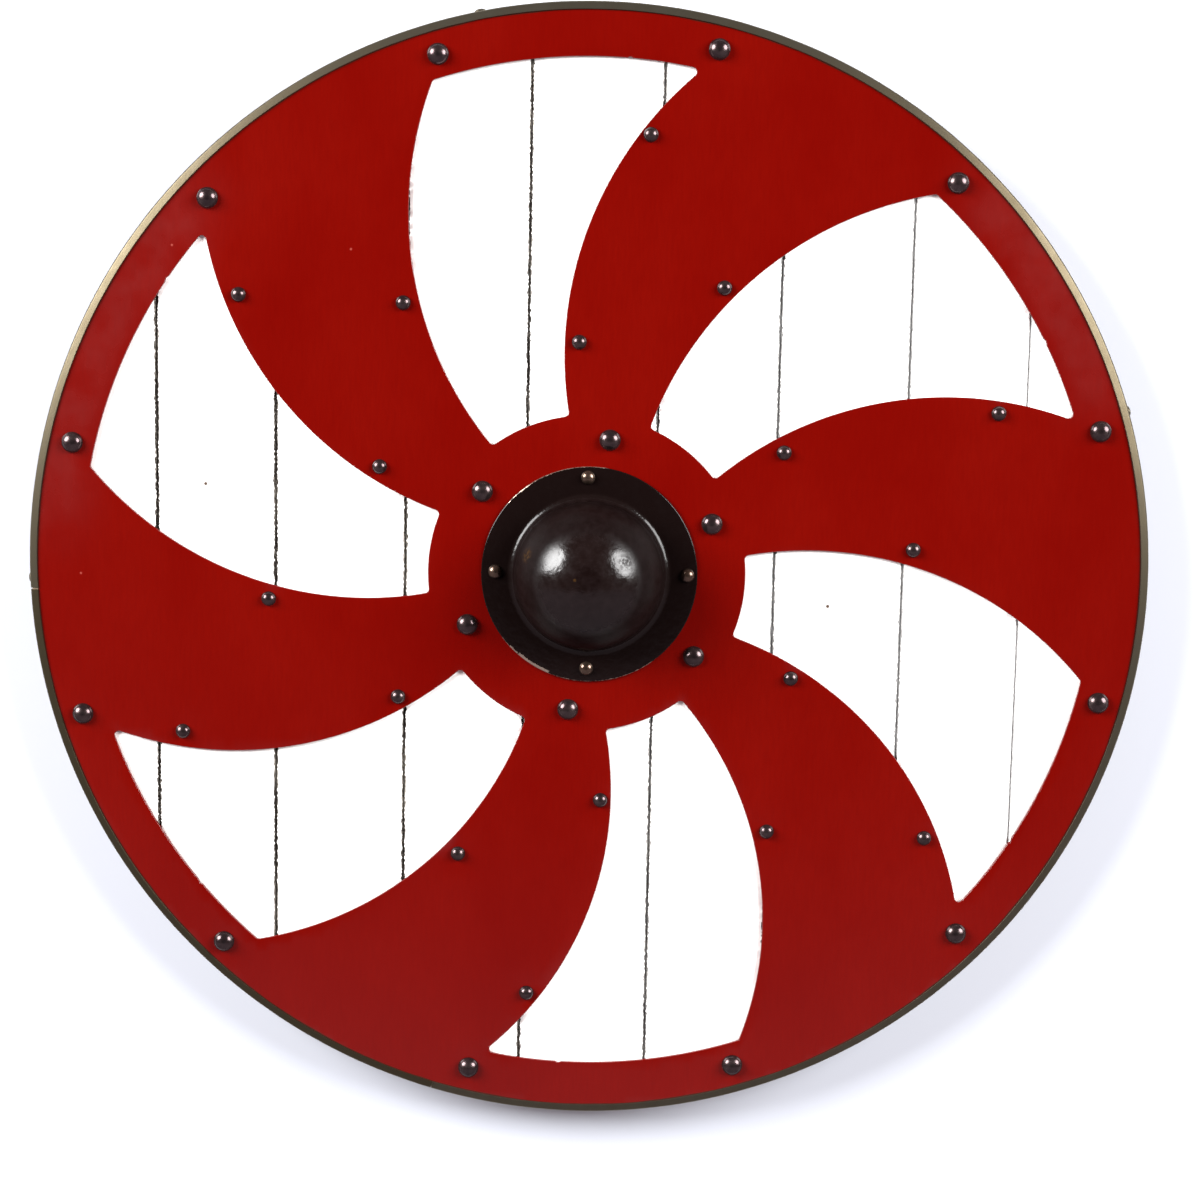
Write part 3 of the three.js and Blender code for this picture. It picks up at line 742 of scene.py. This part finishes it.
def painted_sheet(material):
    """The sheet with its windows, slightly wavy, and pulled in round each stud."""
    heads = np.array([middle(n) for n in STUDS])
    waviness, pull, pull_reach = 0.05, 0.18, 11

    def dimple(x, y):
        near = np.hypot(heads[:, 0] - x, heads[:, 1] - y).min()
        return waviness * (wave(x, y, 70) - 1) - pull * math.exp(-((near / pull_reach) ** 2))

    loops = [circle(BOARD_RADIUS), circle(HAND_HOLE_RADIUS, BOSS_CENTRE, way=-1)]
    outline = window()
    for i in range(ARM_COUNT):
        turn = 2 * math.pi * i / ARM_COUNT + math.radians(WINDOW_DRIFT[i])
        loops.append(notched(turned(outline, turn))[::-1])
    profile = eased(SHEET_BOTTOM, SHEET_TOP, 0.55)
    piece = plate("sheet_painted", loops, profile, [material], top_shape=dimple)
    return dress(piece, "red_sheet", "face_sheet")


def plank(node, number, paint, seam, wood):
    """A board with crumbled edges that reach into the seams, painted on the face and bare below."""
    low, high = box(node)
    bottom, top = low[2], high[2]

    def fray(points, height):
        # Crumbs and paint fill part of the gap below the face, which is broken and partly bridged above them
        depths, shares = (0.0, 0.25, 0.7, 1.4, 2.4, 4.0), (0.0, 0.0, 0.5, 1.0, 1.0, 0.0)
        bulge = float(np.interp(top - height, depths, shares))
        seam = (np.abs(points[:, 0] - low[0]) < 0.4) | (np.abs(points[:, 0] - high[0]) < 0.4)
        seam &= np.hypot(points[:, 0], points[:, 1]) < BOARD_RADIUS - 0.5
        side = np.where(points[:, 0] > (low[0] + high[0]) / 2, 31.0, 0.0)
        squeeze, coarse_size, fine_size = 0.3, 3.1, 1.4
        coarse, fine = np.array([
            (wave(x * squeeze + s, y, coarse_size, height * 0.17 + number),
             wave(x * squeeze - s, y, fine_size, height * 0.5 - number))
            for (x, y), s in zip(points, side)
        ]).T
        crumbs = coarse + fine
        gap = np.clip(SEAM_MIDDLE - points[:, 0] * SEAM_TAPER, SEAM_RIGHT, SEAM_LEFT)
        broken = 0.7 * np.clip(crumbs, 0, 1) * (1 - bulge)
        filled = gap * (0.2 + 0.25 * np.clip(-crumbs * 2, 0, 1)) * bulge
        worn = np.interp(points[:, 0], (-60, 140), (0.2, 0.35)) * (1 - bulge)
        bridged = (0.2 + 0.35 * gap) * np.clip(-fine * 4.0 - 0.6, 0, 1) * (1 - bulge)
        return seam * (broken + worn - bridged - filled)

    def cup(x, y):
        return 0.08 * (wave(x, y * 0.2, 30, number) - 1)

    loops = [refined(p, BOARD_STEP) for p in top_outlines(node)]
    profile = [
        *arc((0.5, bottom + 0.5), 0.5, 270, 180, 2),
        (0.0, top - 4.0),
        (0.0, top - 2.4),
        (0.0, top - 1.4),
        (0.1, top - 0.7),
        (0.3, top - 0.25),
        (0.55, top),
    ]
    name = node.replace("board", "plank")
    piece = plate(name, loops, profile, [paint, seam, wood], cup, fray, white_from=top - 0.1)
    return dress(piece, "white_boards", node)


def rim_profile():
    """The folded channel's section as (radius, height), from the lower lip round to the upper and back."""
    outer, lip = RIM_RADIUS, RIM_RADIUS - RIM_LIP
    low, high = RIM_LOW[2], RIM_HIGH[2]
    wall = outer - RIM_WALL
    across, fall = 1.9, RIM_ROUNDING  # the rounding's half axes
    sink = 1.3  # from the inner edge to where the rounding starts
    fold = 1.3  # how much the fold cuts off the channel's inner corners

    def shoulder(start, end, level, way):
        turns = [math.radians(start + (end - start) * i / 10) for i in range(11)]
        return [(outer - across + across * math.cos(a), level + way * fall * math.sin(a)) for a in turns]

    def bevel(edge, way):
        return [(lip + reach, edge - way * depth) for reach, depth in
                ((0.0, 0.3), (0.2, 0.03), (0.8, 0.20), (1.9, 0.53), (3.1, 0.89))]

    level = fall * math.sin(math.radians(80))
    return [
        *bevel(low, -1),
        *shoulder(80, 0, low + sink + level, -1),
        *shoulder(0, 80, high - sink - level, 1),
        *bevel(high, 1)[::-1],
        (lip, SHEET_TOP),
        (wall - fold, SHEET_TOP),
        (wall, SHEET_TOP - fold),
        (wall, BOARD_BOTTOM + fold),
        (wall - fold, BOARD_BOTTOM),
        (lip, BOARD_BOTTOM),
    ]


def rim_strip(name, node, start, end, material):
    """A stretch of the rim between two angles in degrees, with slight dents."""
    section = rim_profile()
    count = max(2, round(RIM_STEPS * (end - start) / 360))
    points, faces = [], []
    width = len(section)
    inner = RIM_RADIUS - RIM_WALL
    depth, size, circle_of = 0.12, 22, 400  # of the dents: depth, size and the circle they are laid along
    hair = 0.01  # allowance for rounding
    for i in range(count + 1):
        angle = math.radians(start + (end - start) * i / count)
        for radius, height in section:
            if radius > inner + hair or height > SHEET_TOP + hair:
                x, y = circle_of * math.cos(angle), circle_of * math.sin(angle)
                dent = depth * wave(x, y, size, height * 0.05)
                radius -= max(0.0, dent)
            points.append((radius * math.cos(angle), radius * math.sin(angle), height))
        if i:
            for k in range(width):
                m = (k + 1) % width
                a, b = (i - 1) * width, i * width
                faces.append((a + k, b + k, b + m, a + m))
    faces.append(tuple(range(width)))
    faces.append(tuple(range(count * width, (count + 1) * width))[::-1])
    return dress(mesh(name, points, faces, [material]), "rim_steel", node)


def boss_profile(inset):
    """One face of the boss's wall from the flange to the top, set in from the outside."""
    flange = SHEET_TOP + BOSS_WALL
    shoulder = flange + DOME_FILLET + DOME_STRAIGHT
    radius = DOME_RADIUS - inset
    rise = BOSS_HIGH[2] - inset - shoulder
    curve = arc((DOME_RADIUS + DOME_FILLET, flange + DOME_FILLET), DOME_FILLET + inset, -90, -180, 8)
    steps = 30
    for i in range(steps + 1):
        climb = math.pi / 2 * i / steps
        curve.append((radius * math.cos(climb) if i < steps else 0.0, shoulder + rise * math.sin(climb)))
    return curve


def boss_cap(material):
    """The boss with its flange, slightly lumpy above it."""
    ease = BOSS_EDGE_ROUNDING
    ease_below = 0.3
    flange = SHEET_TOP + BOSS_WALL
    profile = [
        *boss_profile(BOSS_WALL)[::-1],
        (BOSS_RADIUS - ease_below, SHEET_TOP),
        (BOSS_RADIUS, SHEET_TOP + ease_below),
        *arc((BOSS_RADIUS - ease, flange - ease), ease, 0, 90, 4),
        *boss_profile(0.0),
    ]

    depth, size = 0.12, 15  # of the lumps

    def beaten(radius, height, angle):
        if height <= flange + 0.01:
            return radius, height
        x, y = radius * math.cos(angle), radius * math.sin(angle)
        lump = depth * (noise.noise(Vector((x / size, y / size, height / size))) - 1)
        return radius + lump * radius / DOME_RADIUS, height + lump * 0.5

    piece = lathe("boss_cap", profile, BOSS_STEPS, BOSS_CENTRE, [material], beaten)
    return dress(piece, "boss_steel", "boss")


def square_reach(angle, width):
    """How far a square of that width reaches from its middle at an angle."""
    return width / 2 / max(abs(math.cos(angle)), abs(math.sin(angle)))


def nail_body(radius, top, seat, shank, tip, rows, steps):
    """Points (two across, one along) and faces of a domed head with a tapered square shank, all closed."""
    angles = [2 * math.pi * i / steps for i in range(steps)]
    climbs = [math.pi / 2 * i / rows for i in range(rows - 1, -1, -1)]
    points = [(0.0, 0.0, top)]
    for climb in climbs:
        reach, along = math.cos(climb) * radius, seat + (top - seat) * math.sin(climb)
        points += [(reach * math.cos(a), reach * math.sin(a), along) for a in angles]
    for width, along in ((shank, seat), (SHANK_TIP, tip)):
        points += [(square_reach(a, width) * math.cos(a), square_reach(a, width) * math.sin(a), along)
                   for a in angles]
    points.append((0.0, 0.0, tip))
    last_ring = len(points) - 1 - steps
    faces = []
    for i in range(steps):
        j = (i + 1) % steps
        faces.append((0, 1 + i, 1 + j))
        for a in range(1, last_ring, steps):
            faces.append((a + i, a + steps + i, a + steps + j, a + j))
        faces.append((len(points) - 1, last_ring + j, last_ring + i))
    return points, faces


def nail(name, node, seat, shank, material):
    """A domed nail on the face, at the CAD nail's place."""
    low, high = box(node)
    centre = middle(node)
    away = corners(node)[:, :2] - centre
    radius = np.hypot(away[:, 0], away[:, 1]).max()
    points, faces = nail_body(radius, high[2], seat, shank, low[2], HEAD_ROWS, HEAD_STEPS)
    placed = [(x + centre[0], y + centre[1], z) for x, y, z in points]
    return dress(mesh(name, placed, faces, [material]), "stud_metal", node)


def rim_nail(name, node, material):
    """A low nail head on the rim's outer wall, with its shank in the boards."""
    points = corners(node)
    place = (points.min(0) + points.max(0)) / 2
    angle = math.atan2(place[1], place[0])
    c, s = math.cos(angle), math.sin(angle)
    outwards = points[:, 0] * c + points[:, 1] * s
    height = points[:, 2]
    radius = (height.max() - height.min()) / 2
    level = (height.max() + height.min()) / 2
    seat = RIM_RADIUS + 0.3  # the head stands this far off the wall, as in the part's source
    body, faces = nail_body(radius, outwards.max(), seat, RIM_NAIL_SHANK, outwards.min(),
                            RIM_NAIL_ROWS, RIM_NAIL_STEPS)
    placed = [(out * c - u * s, out * s + u * c, level + v) for u, v, out in body]
    return dress(mesh(name, placed, faces, [material]), "rim_steel", node)


def bar(name, node, material):
    """A batten or the grip, with rounded edges."""
    low, high = box(node)
    rounding = 2.4
    loops = [refined(p, BAR_STEP) for p in top_outlines(node)]
    profile = eased(low[2], high[2], rounding, 4)
    return dress(plate(name, loops, profile, [material]), "bare_wood", node)


# Build everything

RED, WHITE, SEAM = red_paint(), white_paint(), seam_wood()
STEEL, ENAMEL = rim_steel(), boss_enamel()
GUNMETAL = nail_metal("stud_metal", srgb(60, 49, 51), srgb(76, 65, 65))
BRONZED = nail_metal("rivet_metal", srgb(80, 65, 56), srgb(98, 82, 71))

painted_sheet(RED)
for number, node in enumerate(n for n in sorted(NODES) if n.startswith("board_")):
    wood = bare_wood(f"board_wood_{number + 1}", number * 3.7, srgb(206, 170, 122), srgb(178, 134, 86))
    plank(node, number, WHITE, SEAM, wood)

left_angle, left_gap = RIM_JOINTS["left"]
bottom_angle, bottom_gap = RIM_JOINTS["bottom"]
half_left = math.degrees(left_gap / 2 / RIM_RADIUS)
half_bottom = math.degrees(bottom_gap / 2 / RIM_RADIUS)
rim_strip("rim_strip_short", "rim_short", left_angle + half_left, bottom_angle - half_bottom, STEEL)
rim_strip("rim_strip_long", "rim_long", bottom_angle + half_bottom, left_angle + 360 - half_left, STEEL)
boss_cap(ENAMEL)
for node in STUDS:
    nail(f"{node}_round", node, SHEET_TOP, SHANK_WIDTHS[node[:3]], GUNMETAL)
for node in RIVETS:
    nail(f"{node}_round", node, SHEET_TOP + BOSS_WALL, RIVET_SHANK, BRONZED)
for node in sorted(n for n in NODES if n.startswith("rim_nail")):
    rim_nail(f"{node}_round", node, STEEL)
BATTEN_WOOD = bare_wood("batten_wood", 41.0, srgb(198, 158, 108), srgb(164, 118, 72), along="x")
bar("cross_batten_upper", "batten_upper", BATTEN_WOOD)
bar("cross_batten_lower", "batten_lower", BATTEN_WOOD)
bar("hand_grip", "grip", BATTEN_WOOD)


# Floor, light and camera

FLOOR_COLOUR = (0.55, 0.58, 0.64, 1.0)
WALL_BEHIND = (0.20, 0.13, 0.12, 1.0)
WALL_IN_FRONT = (0.48, 0.40, 0.44, 1.0)
CEILING = (0.012, 0.010, 0.012, 1.0)
CAMERA_PLACE = (40.17, 222.11, 1733.68)
CAMERA_TURN = (-0.1402, 0.0203, 0.0189)
CAMERA_LENS = 70.9
CAMERA_SENSOR = 36.0
# The lamps: name, direction, power in watts, distance and width in metres
LAMPS = (
    ("softbox_left", (-0.81, 0.41, 0.48), 355, 3.6, 2.1),
    ("softbox_right", (0.83, 0.38, 0.53), 300, 3.6, 2.2),
)


def floor():
    s = Shader("floor", Roughness=0.9, Base_Color=FLOOR_COLOUR)
    half_width = 4000.0
    steps = 8
    line = np.linspace(-half_width, half_width, steps + 1)
    points = [(x, y, 0.0) for y in line for x in line]
    row = steps + 1
    faces = [(j * row + i, j * row + i + 1, (j + 1) * row + i + 1, (j + 1) * row + i)
             for j in range(steps) for i in range(steps)]
    mesh("floor", points, faces, [s.material])


def softbox(name, way, power, distance, size):
    """A round lamp that faces the shield from a direction."""
    lamp = bpy.data.lights.new(name, "AREA")
    lamp.shape, lamp.size, lamp.energy = "DISK", size, power
    holder = bpy.data.objects.new(name, lamp)
    direction = Vector(way).normalized()
    holder.location = direction * distance
    holder.rotation_euler = direction.to_track_quat("Z", "Y").to_euler()
    bpy.context.scene.collection.objects.link(holder)


def surroundings():
    """A studio that is dark overhead, dim and brown behind, and paler on the -Y side."""
    world = bpy.data.worlds.new("studio")
    bpy.context.scene.world = world
    world.use_nodes = True
    nodes, links = world.node_tree.nodes, world.node_tree.links
    split = nodes.new("ShaderNodeSeparateXYZ")
    links.new(nodes.new("ShaderNodeTexCoord").outputs["Generated"], split.inputs[0])

    def ramp(way, start, end):
        node = nodes.new("ShaderNodeMapRange")
        node.interpolation_type = "SMOOTHSTEP"
        links.new(split.outputs[way], node.inputs["Value"])
        node.inputs["From Min"].default_value, node.inputs["From Max"].default_value = start, end
        return node.outputs[0]

    def blend(share, low, high):
        node = nodes.new("ShaderNodeMix")
        node.data_type = "RGBA"
        links.new(share, node.inputs[0])
        for socket, value in ((node.inputs[6], low), (node.inputs[7], high)):
            if isinstance(value, tuple):
                socket.default_value = value
            else:
                links.new(value, socket)
        return node.outputs[2]

    walls = blend(ramp("Y", -0.20, -0.34), WALL_BEHIND, WALL_IN_FRONT)
    links.new(blend(ramp("Z", 0.985, 0.90), CEILING, walls), nodes["Background"].inputs["Color"])


floor()
surroundings()
for lamp in LAMPS:
    softbox(*lamp)
camera = bpy.data.cameras.new("camera")
camera.lens, camera.sensor_width = CAMERA_LENS, CAMERA_SENSOR
holder = bpy.data.objects.new("camera", camera)
holder.location = Vector(CAMERA_PLACE) * MM
holder.rotation_euler = Euler(CAMERA_TURN, "XYZ")
bpy.context.scene.collection.objects.link(holder)
bpy.context.scene.camera = holder
bpy.context.scene.view_settings.view_transform = "Standard"
